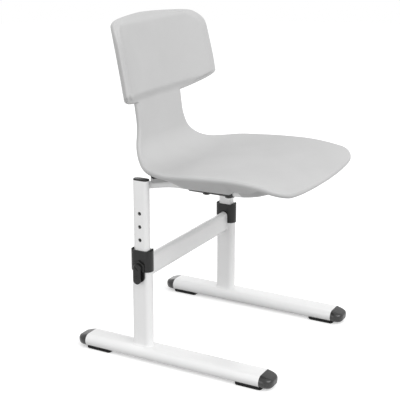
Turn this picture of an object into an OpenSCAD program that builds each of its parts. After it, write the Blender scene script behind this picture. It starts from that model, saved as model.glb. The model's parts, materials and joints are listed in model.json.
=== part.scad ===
// School chair with a height-adjustable steel frame and a one-piece moulded
// plastic shell. Two floor tubes carry two uprights joined by a crossbar. Inner
// tubes slide in the uprights, are locked by lever pins through a row of holes,
// and carry a bent seat tube under the shell.
// Frame: +Z up, the sitter faces -Y, right is -X. Origin: floor level, middle of
// the plan box.

/* [Base frame] */
// Distance between the centre lines of the two uprights
track = 396; // [340:2:440]
// Width of a floor tube
foot_w = 57; // [50:1:70]
// Height of a floor tube
foot_h = 28; // [24:1:28]
// Wall of the floor tubes
foot_wall = 1.5; // [1:0.1:2.5]
// Length of the floor tube in front of the upright centre
foot_front = 297; // [240:1:320]
// Length of the floor tube behind the upright centre
foot_rear = 140; // [110:1:160]
// Long side of an upright's oval section
upright_w = 48; // [46:1:56]
// Short side of an upright's oval section
upright_t = 25; // [24:0.5:30]
// Wall of the uprights
upright_wall = 1.5; // [1:0.1:1.8]
// Height of the crossbar's oval section
bar_h = 50; // [36:1:54]
// Depth of the crossbar's oval section
bar_t = 20; // [16:0.5:22]
// Height of the crossbar's centre line above the floor
bar_z = 211; // [190:1:216]
// Thickness of the floor pads
pad_t = 4; // [3:0.5:10]
// Length of a floor pad
pad_len = 62; // [40:1:80]
// Width of a floor pad
pad_w = 28; // [20:1:30]
// How far a foot cap stands out of its tube
cap_len = 22; // [18:1:40]

/* [Height adjustment] */
// Height of the lock pins above the floor
lock_z = 219; // [214:1:230]
// Long side of the sliding tube's oval section
inner_w = 38; // [34:1:40]
// Short side of the sliding tube's oval section
inner_t = 19; // [16:0.5:19.5]
// Wall of the sliding tubes
inner_wall = 1.5; // [1:0.1:2.5]
// Number of lock holes in each sliding tube
hole_count = 6; // [3:1:6]
// Distance from one lock hole to the next
hole_pitch = 30; // [24:1:32]
// Diameter of a lock hole
hole_d = 7; // [6.6:0.2:9]
// Diameter of a lock pin
pin_d = 6; // [4:0.5:6.2]
// Height of the collar that caps an upright
collar_h = 47; // [44:1:56]
// Wall of the collar
collar_wall = 2; // [1.4:0.1:3]
// Length of the lever from its axis to its tip
lever_len = 37; // [30:1:46]
// Width of the lever's paddle
lever_w = 18; // [14:0.5:20]

/* [Seat frame] */
// Outer diameter of the bent seat tube
rail_d = 16; // [12:0.5:18]
// Wall of the seat tube
rail_wall = 1.5; // [1:0.1:2.5]
// Half the distance between the two seat rails
rail_x = 150; // [120:1:156]
// Height of the seat tube's centre line above the floor
rail_z = 399; // [396:1:420]
// Distance of the seat tube's front run from the uprights
rail_front = 252; // [235:1:262]
// Radius of the seat tube's front corners
rail_corner_r = 54; // [44:1:62]

/* [Shell] */
// Greatest width of the seat
seat_w = 438; // [410:2:460]
// Width of the seat near its front edge
seat_front_w = 414; // [390:2:440]
// Width of the neck between seat and backrest
neck_w = 193; // [160:1:220]
// Greatest width of the backrest
back_w = 394; // [340:2:430]
// Width of the backrest near its top edge
back_top_w = 384; // [340:2:410]
// Thickness of the shell at its edges
shell_t = 12; // [9:0.5:14]
// How far the back pad swells out of the neck
pad_swell = 9; // [4:0.5:12]
// How far the seat's sides rise above its middle
seat_dish = 13; // [8:0.5:18]
// How far the backrest's sides curve forward of its middle
back_wrap = 46; // [24:1:54]

/* [Hidden] */

// Fineness of round faces, and the overrun of every cut
round_fn = 48;
fine_fn = 32;
over = 1;
// Gap at a fixed fit, gap at a sliding fit, and radial gap of a turning fit
fit_gap = 0.1;
slide_gap = 0.3;
turn_gap = 0.05;

// Reach of the whole chair in front of and behind the uprights, which sets where
// the uprights stand in the frame
shell_reach = 338;
upright_y = (shell_reach - foot_rear - cap_len) / 2;

// Heights of the base frame
collar_drop = 10.5;
foot_z = pad_t + foot_h / 2;
foot_top = pad_t + foot_h;
collar_bottom = lock_z - collar_drop;
collar_top = collar_bottom + collar_h;
lip_t = 2.8;
upright_top = collar_top - lip_t;

// Caps, pads and their pegs
nose_flat = 1;
nose_side_r = min(cap_len, foot_w / 2) - nose_flat;
nose_top_r = 6;
nose_low_r = 12;
nose_fall = 8;
cap_plug_len = 24;
cap_wall = 2.6;
cap_groove = 0.8;
cap_groove_w = 3;
peg_d = 8;
peg_len = 5;
pad_edge_r = 2;
pad_gap = 0;

// Collar ears
ear_h = 2.6;
ear_w = 8;

// Guide bush between an upright and its sliding tube
bush_len = 60;
bush_w = upright_w - 2 * (upright_wall + fit_gap);
bush_t = upright_t - 2 * (upright_wall + fit_gap);

// Lock: everything is measured outwards from the upright's centre line
collar_face = upright_t / 2 + collar_wall + fit_gap;
plate_t = 3.6;
plate_w = 29;
plate_drop = 35;
recess_w = 4.6;
recess_len = 15;
recess_t = 1.2;
recess_in = 1.6;
recess_low = 2.4;
hex_d = 31;
spigot_d = 14;
spigot_len = 5;
lever_gap = 0.4;
lever_hub_d = 19.5;
slot_w = 2.4;
slot_len = 10;
slot_t = 1.4;
slot_angle = 50;
lever_hub_t = 7.5;
paddle_t = 6.5;
paddle_edge = 1.5;
pin_clear = 0.7;
pin_chamfer = 1;
plate_face = collar_face + plate_t;
lever_face = plate_face + lever_gap;
pin_tip = inner_t / 2 + pin_clear;
pin_len = plate_face + spigot_len - pin_tip;
grip_rib_d = 1.6;
grip_ribs = 3;
grip_pitch = 4;

// Sliding tube
guide_below = 59;
tube_bottom = lock_z - guide_below;
plug_cap_t = 3;
tube_above = 13;
tube_top = rail_z + tube_above;
plug_stem = 14;
stop_t = 5;
hole_top = lock_z + (hole_count - 2) * hole_pitch;

// Seat tube: it leaves the sliding tube in a straight arm, on the tangent of the
// bend that turns it forward; the angle is taken to a tenth of a degree
arm_bend_r = 60;
arm_bend_y = 69;
arm_root_y = 5.65;
arm_root_x = track / 2 - inner_t / 2;
arm_dx = arm_root_x - rail_x;
arm_dy = arm_bend_y - arm_root_y;
arm_len = sqrt(arm_dx * (arm_dx - 2 * arm_bend_r) + arm_dy * arm_dy);
arm_angle = round(10 * (atan2(arm_dy, arm_bend_r - arm_dx) - atan2(arm_len, arm_bend_r))) / 10;
arm_bend_dx = arm_bend_r * (1 - cos(arm_angle));
arm_knee_y = arm_bend_y - arm_bend_r * sin(arm_angle);

// Clamps, screws and inserts under the shell
belly_z = rail_z + rail_d / 2;
clamp_wall = 2.2;
clamp_start = 93;
clamp_end = rail_front - rail_corner_r;
clamp_boss_d = 17;
clamp_boss_drop = 0.6;
screw_inset_rear = 40;
screw_inset_front = 12;
screw_ys = [clamp_start + screw_inset_rear, clamp_end - screw_inset_front];
screw_d = 6;
screw_head_d = 11;
screw_head_h = 2.4;
screw_grip = 10;
insert_d = 9;
insert_len = 13;
boss_bottom = rail_z - rail_d / 2 - clamp_wall - clamp_boss_drop;
block_w = 17;
block_len = 34;
block_drop = 6;
block_low = 17;
block_high = 24;

// Shell centre line, from the front edge back and up: each run has a length and
// the angle by which it turns. Positive turns rise towards the backrest.
lip_rise = 14.7;
run_lens = [148.5, 168, 39.5, 88, 67, 80.5, 126];
run_turns = [-17.8, -2.2, 17.8, 72, -3, -3.5, -1];
shell_start_drop = 1.7;
shell_start_z = belly_z - shell_start_drop;
runs = len(run_lens);
run_starts = [for (i = [0:runs]) i == 0 ? 0 : sum_to(run_lens, i - 1)];
run_heads = [for (i = [0:runs]) lip_rise + (i == 0 ? 0 : sum_to(run_turns, i - 1))];
shell_len = run_starts[runs];
bend_from = run_starts[2];
neck_to = run_starts[5];

// Outline of the shell laid flat: where it narrows to the neck, where the back
// pad starts, and the depths of its rounded ends
narrow_lead = 54;
narrow_tail = 169;
wide_lead = 20;
pad_rise = 13;
narrow_from = bend_from - narrow_lead;
narrow_to = bend_from + narrow_tail;
wide_at = narrow_from - wide_lead;
pad_from = neck_to + pad_rise;
wing_h = 28;
wing_power = 1.4;
top_wrap = 7;
front_corner = 47;
top_corner = 60;
front_crown = 8;
top_crown = 18;
front_power = 6;
top_power = 5;
dish_power = 3.3;
dish_ref = 193;
wrap_lead = 56;
wrap_tail = 130;
wrap_from = bend_from - wrap_lead;
wrap_to = bend_from + wrap_tail;
edge_r = shell_t / 2;
pad_roll = 24;
belly_drop = 5;
belly_low = belly_z - belly_drop;
belly_run = 38;
belly_from = 114;
belly_full = 140;
belly_rear_lead = 80;
belly_end_lead = 25;
belly_rear_full = bend_from - belly_rear_lead;
belly_rear_end = bend_from - belly_end_lead;

// Grid of the shell: stations along it and points across it
front_steps = 9;
seat_steps = 12;
bend_steps = 16;
neck_steps = 5;
wing_steps = 10;
back_steps = 8;
top_steps = 8;
across = 26;
tip = 0.2;
slope_step = 0.1;

function sum_to(list, last) = last < 0 ? 0 : list[last] + sum_to(list, last - 1);
function clamp01(t) = max(0, min(1, t));
function ease(t) = let (c = clamp01(t)) c * c * (3 - 2 * c);
function mix(a, b, t) = a + (b - a) * t;
function run_of(s, i = 0) = (i >= runs - 1 || s < run_starts[i + 1]) ? i : run_of(s, i + 1);

// Heading of the centre line, and its place, at a length s along it
function heading(s) =
    let (i = run_of(s)) run_heads[i] + run_turns[i] * (s - run_starts[i]) / run_lens[i];
function run_step(i, part) =
    let (turn = run_turns[i] * part, chord = run_lens[i] * part,
         mid = run_heads[i] + turn / 2,
         half = abs(turn) < 1e-6 ? 1 : sin(turn / 2) / (turn / 2 * PI / 180))
    [chord * half * cos(mid), chord * half * sin(mid)];
function run_origin(i) =
    i == 0 ? [-shell_reach + edge_r * (1 - cos(lip_rise)), shell_start_z] : run_origin(i - 1) + run_step(i - 1, 1);
run_origins = [for (i = [0:runs - 1]) run_origin(i)];
function centre(s) =
    let (i = run_of(s)) run_origins[i] + run_step(i, (s - run_starts[i]) / run_lens[i]);

// Half width of the outline at s
function end_share(d, depth, power) =
    let (t = clamp01(d / depth)) pow(max(0, 1 - (1 - t) * (1 - t)), 1 / power);
function seat_half(s) =
    mix(mix(seat_front_w, seat_w, ease(s / wide_at)), neck_w,
        ease((s - narrow_from) / (narrow_to - narrow_from))) / 2;
function back_half(s) =
    mix(back_w, back_top_w, ease((s - pad_from - wing_h) / (shell_len - pad_from - wing_h))) / 2;
function wing_half(s) =
    s <= pad_from ? 0
    : neck_w / 2 + (back_half(s) - neck_w / 2) * end_share(s - pad_from, wing_h, wing_power);
function half_width(s) =
    max(seat_half(s), wing_half(s))
    * end_share(s, front_corner, front_power) * round_share(s, front_crown)
    * end_share(shell_len - s, top_corner, top_power) * round_share(shell_len - s, top_crown);
function width_slope(s) =
    (half_width(min(shell_len, s + slope_step)) - half_width(max(0, s - slope_step)))
    / (2 * slope_step);

// Distance from the point (s, x) to the outline, and to the back pad's outline
function edge_gap(s, x) =
    let (side = (half_width(s) - abs(x)) / sqrt(1 + pow(width_slope(s), 2)),
         wing = s > pad_from && s < pad_from + wing_h && abs(x) < half_width(s)
             ? max(min(side, s - pad_from), neck_w / 2 - abs(x)) : side)
    max(0, min(s, shell_len - s, wing));
function pad_gap_at(s, x) = max(0, min(s - pad_from, edge_gap(s, x)));
function round_share(d, r) = let (t = clamp01(d / r)) sqrt(max(0, 1 - (1 - t) * (1 - t)));

// Offsets from the centre line along its normal
function rise(s, x) =
    (mix(seat_dish, back_wrap, ease((s - wrap_from) / (wrap_to - wrap_from)))
     + top_wrap * clamp01((s - wrap_to) / (shell_len - wrap_to)))
    * pow(abs(x) / dish_ref, dish_power);
function belly_share(s) =
    ease((s - belly_from) / (belly_full - belly_from))
    * (1 - ease((s - belly_rear_full) / (belly_rear_end - belly_rear_full)));
function belly(s, x) =
    let (floor_gap = centre(s)[1] + rise(s, x) * cos(heading(s)) - edge_r - belly_low)
    max(0, floor_gap) / max(0.5, cos(heading(s)))
    * belly_share(s) * ease(edge_gap(s, x) / belly_run);
function face_off(s, x) =
    rise(s, x) + edge_r * round_share(edge_gap(s, x), edge_r)
    + pad_swell * round_share(pad_gap_at(s, x), pad_roll) * ease(pad_gap_at(s, x) / pad_roll);
function back_off(s, x) =
    rise(s, x) - edge_r * round_share(edge_gap(s, x), edge_r) - belly(s, x);
function shell_point(s, x, off) =
    let (c = centre(s), h = heading(s)) [x, c[0] - off * sin(h), c[1] + off * cos(h)];

function spread(from, to, steps) = [for (k = [0:steps - 1]) mix(from, to, k / steps)];
function ease_in(from, depth, steps) =
    [for (k = [0:steps - 1]) from + max(tip, depth * (1 - cos(90 * k / steps)))];
stations = concat(
    ease_in(0, front_corner, front_steps),
    spread(front_corner, narrow_from, seat_steps),
    spread(narrow_from, narrow_to, bend_steps),
    spread(narrow_to, pad_from, neck_steps),
    ease_in(pad_from, wing_h, wing_steps),
    spread(pad_from + wing_h, shell_len - top_corner, back_steps),
    [for (k = [top_steps:-1:0]) shell_len - max(tip, top_corner * (1 - cos(90 * k / top_steps)))]
);
cross_shares = [for (k = [0:across]) sin(90 * (2 * k / across - 1))];

// 2D shapes
module oval(w, t) {
    long = max(w, t);
    short = min(w, t);
    rotate(w >= t ? 0 : 90) {
        square([long - short, short], center = true);
        for (side = [-1, 1])
            translate([side * (long - short) / 2, 0]) circle(d = short, $fn = round_fn);
    }
}
module oval_ring(w, t, wall) {
    difference() {
        oval(w, t);
        oval(w - 2 * wall, t - 2 * wall);
    }
}

// A piece of the right-hand upright, or its mirror image on the left
module at_side(side) {
    translate([0, upright_y, 0])
        if (side < 0) translate([-track / 2, 0, 0]) children();
        else mirror([1, 0, 0]) translate([-track / 2, 0, 0]) children();
}
// Turns an upward shape so that it points outwards, to the right-hand side
module outwards(z) {
    translate([0, 0, z]) rotate([0, -90, 0]) children();
}

module foot_tube(side) {
    color("white") at_side(side) difference() {
        translate([0, foot_rear, foot_z]) rotate([90, 0, 0])
            linear_extrude(foot_front + foot_rear) oval_ring(foot_w, foot_h, foot_wall);
        for (y = pad_places()) translate([0, y, pad_t - over])
            cylinder(d = peg_d + 2 * fit_gap, h = foot_wall + 2 * over, $fn = round_fn);
    }
}
function pad_places() = [-foot_front + pad_gap + pad_len / 2, foot_rear - pad_gap - pad_len / 2];

// Foot cap: a boxy nose with rounded edges and a falling top, on a hollow plug
// with grip grooves. Three outlines that cross each other give the nose its form.
module rounded_end(half_a, half_b, len, r_a, r_b) {
    r_max = max(r_a, r_b);
    translate([-half_b, -over]) square([half_a + half_b, len - r_max + over]);
    translate([-half_b + r_b, -over]) square([half_a + half_b - r_a - r_b, len + over]);
    translate([half_a - r_a, len - r_a]) circle(r = r_a, $fn = round_fn);
    translate([-half_b + r_b, len - r_b]) circle(r = r_b, $fn = round_fn);
    if (r_max > r_a) translate([half_a - r_a, -over]) square([r_a, len - r_a + over]);
}
module cap_nose() {
    intersection() {
        rotate([-90, 0, 0]) linear_extrude(cap_len) oval(foot_w, foot_h);
        translate([0, 0, -foot_h]) linear_extrude(2 * foot_h)
            rounded_end(foot_w / 2, foot_w / 2, cap_len, nose_side_r, nose_side_r);
        rotate([0, -90, 0]) linear_extrude(2 * foot_w, center = true)
            rounded_end(foot_h / 2, foot_h / 2, cap_len, nose_top_r, nose_low_r);
        translate([0, cap_len / 4, foot_h / 2]) rotate([-nose_fall, 0, 0])
            translate([-foot_w, -cap_len, -2 * foot_h]) cube([2 * foot_w, 3 * cap_len, 2 * foot_h]);
    }
}
module cap_plug() {
    plug_w = foot_w - 2 * (foot_wall + fit_gap);
    plug_h = foot_h - 2 * (foot_wall + fit_gap);
    rotate([90, 0, 0]) difference() {
        linear_extrude(cap_plug_len) oval(plug_w, plug_h);
        translate([0, 0, over]) linear_extrude(cap_plug_len) oval(plug_w - 2 * cap_wall, plug_h - 2 * cap_wall);
        for (k = [1:3]) translate([0, 0, k * cap_plug_len / 4 - cap_groove_w / 2])
            linear_extrude(cap_groove_w) difference() {
                oval(foot_w, foot_h);
                oval(plug_w - 2 * cap_groove, plug_h - 2 * cap_groove);
            }
    }
}
module foot_cap(side, front) {
    color([0.2, 0.2, 0.2]) at_side(side)
        translate([0, front ? -foot_front : foot_rear, foot_z])
        rotate([0, 0, front ? 180 : 0]) {
            cap_nose();
            cap_plug();
        }
}

// Floor pad with a peg through the tube's wall
module floor_pad(side, front) {
    color([0.12, 0.12, 0.12]) at_side(side)
        translate([0, pad_places()[front ? 0 : 1], 0]) {
            linear_extrude(pad_t) offset(r = pad_edge_r, $fn = fine_fn) offset(delta = -pad_edge_r)
                square([pad_w, pad_len], center = true);
            cylinder(d = peg_d, h = pad_t + peg_len, $fn = round_fn);
        }
}

module upright(side) {
    color("white") at_side(side) difference() {
        translate([0, 0, foot_top])
            linear_extrude(upright_top - foot_top) oval_ring(upright_t, upright_w, upright_wall);
        outwards(lock_z) translate([0, 0, upright_t / 2 - upright_wall - over])
            cylinder(d = pin_d + 2 * slide_gap, h = upright_wall + 2 * over, $fn = round_fn);
    }
}
module crossbar() {
    color("white") translate([0, upright_y, bar_z]) rotate([90, 0, 90])
        linear_extrude(track - upright_t, center = true) oval_ring(bar_t, bar_h, upright_wall);
}

// Collar: a cap over the upright's end, open for the sliding tube and notched
// for the crossbar, with an ear at each rounded end
module collar(side) {
    outer_w = upright_w + 2 * (collar_wall + fit_gap);
    outer_t = upright_t + 2 * (collar_wall + fit_gap);
    color([0.2, 0.2, 0.2]) at_side(side) difference() {
        union() {
            translate([0, 0, collar_bottom]) linear_extrude(collar_h) oval(outer_t, outer_w);
            intersection() {
                translate([0, 0, collar_top - over]) linear_extrude(ear_h + over)
                    oval(outer_t, outer_w);
                for (end = [-1, 1]) translate([0, end * outer_w / 2, collar_top])
                    rotate([90, 0, 90]) linear_extrude(outer_t, center = true)
                        polygon([[-end * ear_w, 0], [-end * ear_w, -over], [0, -over],
                                 [-end * ear_w / 2, ear_h], [-end * ear_w * 3 / 4, ear_h]]);
            }
        }
        translate([0, 0, collar_bottom - over]) linear_extrude(collar_h - lip_t + over)
            oval(upright_t + 2 * fit_gap, upright_w + 2 * fit_gap);
        translate([0, 0, collar_bottom]) linear_extrude(collar_h + ear_h + over)
            oval(inner_t + 2 * slide_gap, inner_w + 2 * slide_gap);
        translate([upright_t / 2 - over, 0, bar_z]) rotate([90, 0, 90])
            linear_extrude(collar_wall + 3 * over) {
                oval(bar_t + 2 * slide_gap, bar_h + 2 * slide_gap);
                translate([0, -bar_h / 2]) square([bar_t + 2 * slide_gap, bar_h], center = true);
            }
        outwards(lock_z) translate([0, 0, upright_t / 2])
            cylinder(d = pin_d + 2 * slide_gap, h = collar_wall + over, $fn = round_fn);
    }
}

module guide_bush(side) {
    color([0.25, 0.25, 0.25]) at_side(side) difference() {
        translate([0, 0, upright_top - bush_len]) linear_extrude(bush_len) difference() {
            oval(bush_t, bush_w);
            oval(inner_t + 2 * slide_gap, inner_w + 2 * slide_gap);
        }
        outwards(lock_z) translate([0, 0, inner_t / 2])
            cylinder(d = pin_d + 2 * slide_gap, h = upright_t, $fn = round_fn);
    }
}

// Plate that carries the lever: a six-sided boss with a tongue below it
module lock_plate(side) {
    color([0.2, 0.2, 0.2]) at_side(side) outwards(lock_z) difference() {
        union() {
            translate([0, 0, collar_face]) {
                cylinder(d = hex_d, h = plate_t, $fn = 6);
                linear_extrude(plate_t - over) hull() {
                    circle(d = plate_w - 2 * over, $fn = fine_fn);
                    translate([plate_w / 2 - plate_drop, 0]) circle(d = plate_w, $fn = fine_fn);
                }
                cylinder(d = spigot_d, h = plate_t + spigot_len, $fn = round_fn);
            }
        }
        for (end = [-1, 1])
            translate([recess_low + recess_len / 2 - plate_drop, end * (plate_w - recess_w - 2 * recess_in) / 2,
                       plate_face - recess_t])
                linear_extrude(recess_t + over) oval(recess_len, recess_w);
        cylinder(d = pin_d + 2 * turn_gap, h = plate_face + spigot_len + over, $fn = round_fn);
    }
}

// Lever: a hub that turns on the spigot, with a rounded, ribbed paddle
module lock_lever(side) {
    hub_r = lever_hub_d / 2;
    paddle_r = lever_w / 2;
    color([0.18, 0.18, 0.18]) at_side(side) outwards(lock_z) translate([0, 0, lever_face]) difference() {
        union() {
            cylinder(d = lever_hub_d, h = lever_hub_t - paddle_edge, $fn = round_fn);
            translate([0, 0, lever_hub_t - paddle_edge])
                cylinder(d1 = lever_hub_d, d2 = lever_hub_d - 2 * paddle_edge, h = paddle_edge, $fn = round_fn);
            translate([0, 0, lever_hub_t - paddle_t + over]) hull() {
                for (x = [0, paddle_r - lever_len]) translate([x, 0, 0]) {
                    cylinder(r = paddle_r, h = paddle_t - paddle_edge, $fn = fine_fn);
                    cylinder(r = paddle_r - paddle_edge, h = paddle_t, $fn = fine_fn);
                }
            }
            for (k = [0:grip_ribs - 1])
                translate([2 * paddle_r - lever_len + k * grip_pitch - grip_pitch, 0,
                           lever_hub_t + over])
                    rotate([90, 0, 0]) cylinder(d = grip_rib_d, h = lever_w / 2, center = true, $fn = fine_fn);
        }
        translate([0, 0, -over]) cylinder(d = spigot_d + 2 * turn_gap,
            h = spigot_len - lever_gap + slide_gap + over, $fn = round_fn);
        rotate([0, 0, slot_angle]) translate([-slot_len / 2, -slot_w / 2, lever_hub_t + over - slot_t])
            cube([slot_len, slot_w, slot_t + over]);
    }
}

module lock_pin(side) {
    color("silver") at_side(side) outwards(lock_z) translate([0, 0, pin_tip]) {
        cylinder(d1 = pin_d - 2 * pin_chamfer, d2 = pin_d, h = pin_chamfer, $fn = round_fn);
        translate([0, 0, pin_chamfer]) cylinder(d = pin_d, h = pin_len - pin_chamfer, $fn = round_fn);
    }
}

module inner_tube(side) {
    color("white") at_side(side) difference() {
        translate([0, 0, tube_bottom])
            linear_extrude(tube_top - tube_bottom) oval_ring(inner_t, inner_w, inner_wall);
        for (k = [0:hole_count - 1]) outwards(hole_top - k * hole_pitch)
            translate([0, 0, inner_t / 2 - inner_wall - over])
                cylinder(d = hole_d, h = inner_wall + 2 * over, $fn = round_fn);
    }
}
module tube_stem(w, t, len) {
    linear_extrude(len) oval_ring(t - 2 * fit_gap, w - 2 * fit_gap, cap_wall);
}
module top_plug(side) {
    color([0.2, 0.2, 0.2]) at_side(side) translate([0, 0, tube_top]) {
        linear_extrude(plug_cap_t - over) oval(inner_t, inner_w);
        translate([0, 0, plug_cap_t - over]) linear_extrude(over) oval(inner_t - 2 * over, inner_w - 2 * over);
        translate([0, 0, -plug_stem])
            tube_stem(inner_w - 2 * inner_wall, inner_t - 2 * inner_wall, plug_stem);
    }
}
module slide_plug(side) {
    color([0.25, 0.25, 0.25]) at_side(side) translate([0, 0, tube_bottom]) {
        translate([0, 0, -stop_t]) linear_extrude(stop_t)
            oval(upright_t - 2 * (upright_wall + slide_gap), upright_w - 2 * (upright_wall + slide_gap));
        tube_stem(inner_w - 2 * inner_wall, inner_t - 2 * inner_wall, plug_stem);
    }
}

// Seat tube: one bent tube from one sliding tube to the other. Its runs meet face
// to face, and a bore of less than the full diameter is drawn as a ring.
module tube_section(d, bore) {
    difference() {
        circle(d = d, $fn = round_fn);
        if (bore > 0) circle(d = bore, $fn = round_fn);
    }
}
module rail_half(d, bore) {
    translate([rail_x, -arm_bend_y, 0]) rotate([90, 0, 0])
        linear_extrude(rail_front - rail_corner_r - arm_bend_y) tube_section(d, bore);
    translate([rail_x - rail_corner_r, -rail_front + rail_corner_r, 0]) rotate([0, 0, -90])
        rotate_extrude(angle = 90, $fn = 2 * round_fn)
            translate([rail_corner_r, 0]) tube_section(d, bore);
    translate([rail_x + arm_bend_r, -arm_bend_y, 0]) difference() {
        rotate([0, 0, 180 - arm_angle]) {
            rotate_extrude(angle = arm_angle, $fn = 2 * round_fn)
                translate([arm_bend_r, 0]) rotate(180) tube_section(d, bore);
            translate([arm_bend_r, 0, 0]) rotate([90, 0, 0])
                linear_extrude(arm_len + rail_d) tube_section(d, bore);
        }
        translate([arm_root_x - rail_x - arm_bend_r, -rail_x, -rail_d]) cube([2 * rail_d, 2 * rail_x, 2 * rail_d]);
    }
}
module rail_solid(d, bore = 0) {
    for (side = [0, 1]) mirror([side, 0, 0]) rail_half(d, bore);
    translate([0, -rail_front, 0]) rotate([90, 0, 90])
        linear_extrude(2 * (rail_x - rail_corner_r), center = true) tube_section(d, bore);
}
module seat_tube() {
    color("white") translate([0, upright_y, rail_z]) difference() {
        rail_solid(rail_d, rail_d - 2 * rail_wall);
        for (side = [-1, 1]) for (y = screw_ys) translate([side * rail_x, -y, -rail_d])
            cylinder(d = screw_d + 2 * slide_gap, h = 2 * rail_d, $fn = round_fn);
    }
}

module at_rail(side) {
    translate([side * rail_x, upright_y, 0]) children();
}
// Clamp that wraps the rail from below and seats against the shell
module rail_clamp(side) {
    outer_d = rail_d + 2 * clamp_wall;
    color([0.15, 0.15, 0.15]) at_rail(side) difference() {
        union() {
            translate([0, -clamp_start, rail_z]) rotate([90, 0, 0]) linear_extrude(clamp_end - clamp_start) {
                circle(d = outer_d, $fn = round_fn);
                translate([-outer_d / 2, 0]) square([outer_d, rail_d / 2]);
            }
            for (y = screw_ys) translate([0, -y, boss_bottom])
                cylinder(d = clamp_boss_d, h = belly_z - boss_bottom, $fn = round_fn);
        }
        translate([0, -clamp_start + over, rail_z]) rotate([90, 0, 0])
            linear_extrude(clamp_end - clamp_start + 2 * over) {
                circle(d = rail_d + 2 * fit_gap, $fn = round_fn);
                translate([-rail_d / 2 - fit_gap, 0]) square([rail_d + 2 * fit_gap, rail_d]);
            }
        translate([-rail_d, -2 * clamp_end, belly_z]) cube([2 * rail_d, 2 * clamp_end, rail_d]);
        for (y = screw_ys) translate([0, -y, boss_bottom - over])
            cylinder(d = screw_d + 2 * slide_gap, h = rail_d, $fn = round_fn);
    }
}

// Wedge between the seat tube's angled root and a pocket in the shell's underside
module block_wedge(side, gap) {
    translate([side * (rail_x + arm_bend_dx), upright_y - arm_knee_y, rail_z])
        rotate([90, 0, side > 0 ? arm_angle : 180 - arm_angle])
            linear_extrude(block_w + 2 * gap, center = true)
                polygon([[-block_len / 2 - gap, block_drop], [block_len / 2 + gap, block_drop],
                         [block_len / 2 + gap, block_high + gap], [-block_len / 2 - gap, block_low + gap]]);
}
module rear_block(side) {
    color([0.15, 0.15, 0.15]) difference() {
        block_wedge(side, 0);
        translate([0, upright_y, rail_z]) rail_solid(rail_d + 2 * fit_gap);
    }
}

module screw_group() {
    for (side = [-1, 1]) for (y = screw_ys) at_rail(side) translate([0, -y, boss_bottom]) children();
}
module seat_screws() {
    socket_d = screw_head_d / 2;
    color("silver") screw_group() difference() {
        union() {
            translate([0, 0, -screw_head_h]) cylinder(d1 = screw_head_d - 2 * over, d2 = screw_head_d,
                h = over, $fn = round_fn);
            translate([0, 0, over - screw_head_h]) cylinder(d = screw_head_d, h = screw_head_h - over, $fn = round_fn);
            cylinder(d = screw_d, h = belly_z - boss_bottom + screw_grip, $fn = round_fn);
        }
        translate([0, 0, -screw_head_h - over])
            cylinder(d = socket_d, h = screw_head_h / 2 + over, $fn = 6);
    }
}
module seat_inserts() {
    color("gold") for (side = [-1, 1]) for (y = screw_ys) at_rail(side)
        translate([0, -y, belly_z]) difference() {
            cylinder(d = insert_d, h = insert_len, $fn = round_fn);
            translate([0, 0, -over]) cylinder(d = screw_d, h = screw_grip + 2 * over, $fn = round_fn);
        }
}

// Shell: face and back surfaces on one grid, joined along the outline. Its belly
// hangs below the rails' tops, with a channel over each rail.
module shell_skin() {
    ring = 2 * across;
    last = len(stations) - 1;
    points = [for (s = stations) let (w = half_width(s)) for (j = [0:ring - 1])
        let (x = w * cross_shares[j <= across ? j : ring - j])
        shell_point(s, x, j <= across ? face_off(s, x) : back_off(s, x))];
    walls = [for (i = [0:last - 1]) for (j = [0:ring - 1])
        let (a = i * ring + j, b = i * ring + (j + 1) % ring)
        for (face = [[a, a + ring, b], [b, a + ring, b + ring]]) face];
    front_end = [for (j = [0:ring - 1]) j];
    top_end = [for (j = [ring - 1:-1:0]) last * ring + j];
    polyhedron(points, concat(walls, [front_end], [top_end]), convexity = 8);
}
module seat_shell() {
    channel_w = rail_d + 2 * (clamp_wall + fit_gap);
    color([0.78, 0.78, 0.78]) translate([0, upright_y, 0]) difference() {
        shell_skin();
        for (side = [-1, 1]) {
            translate([side * rail_x - channel_w / 2, -rail_front, belly_z - rail_d])
                cube([channel_w, rail_front - arm_bend_y, rail_d]);
            translate([0, -upright_y, 0]) block_wedge(side, fit_gap);
            for (y = screw_ys) translate([side * rail_x, -y, belly_z - over])
                cylinder(d = insert_d, h = insert_len + over, $fn = round_fn);
        }
    }
}

foot_tube(-1);  // right_foot_tube
foot_tube(1);  // left_foot_tube
foot_cap(-1, true);  // right_front_cap
foot_cap(-1, false);  // right_rear_cap
foot_cap(1, true);  // left_front_cap
foot_cap(1, false);  // left_rear_cap
floor_pad(-1, true);  // right_front_pad
floor_pad(-1, false);  // right_rear_pad
floor_pad(1, true);  // left_front_pad
floor_pad(1, false);  // left_rear_pad
upright(-1);  // right_upright
upright(1);  // left_upright
crossbar();
collar(-1);  // right_collar
collar(1);  // left_collar
guide_bush(-1);  // right_guide_bush
guide_bush(1);  // left_guide_bush
lock_plate(-1);  // right_lock_plate
lock_plate(1);  // left_lock_plate
lock_lever(-1);  // right_lock_lever
lock_lever(1);  // left_lock_lever
lock_pin(-1);  // right_lock_pin
lock_pin(1);  // left_lock_pin
inner_tube(-1);  // right_inner_tube
inner_tube(1);  // left_inner_tube
top_plug(-1);  // right_top_plug
top_plug(1);  // left_top_plug
slide_plug(-1);  // right_slide_plug
slide_plug(1);  // left_slide_plug
seat_tube();
rail_clamp(-1);  // right_rail_clamp
rail_clamp(1);  // left_rail_clamp
rear_block(-1);  // right_rear_block
rear_block(1);  // left_rear_block
seat_screws();
seat_inserts();
seat_shell();
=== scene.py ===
"""Looks of a height-adjustable school chair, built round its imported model.

The chair is a one-piece moulded shell on a powder-coated steel frame: two floor
tubes, two uprights, sliding tubes with a row of lock holes, and a bent seat tube.
Sizes in the classes are millimetres; meshes are in metres, in the model's frame.
"""

from __future__ import annotations

import json
import logging
import math
from dataclasses import dataclass, field
from enum import Enum
from typing import Iterable, Sequence

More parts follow.
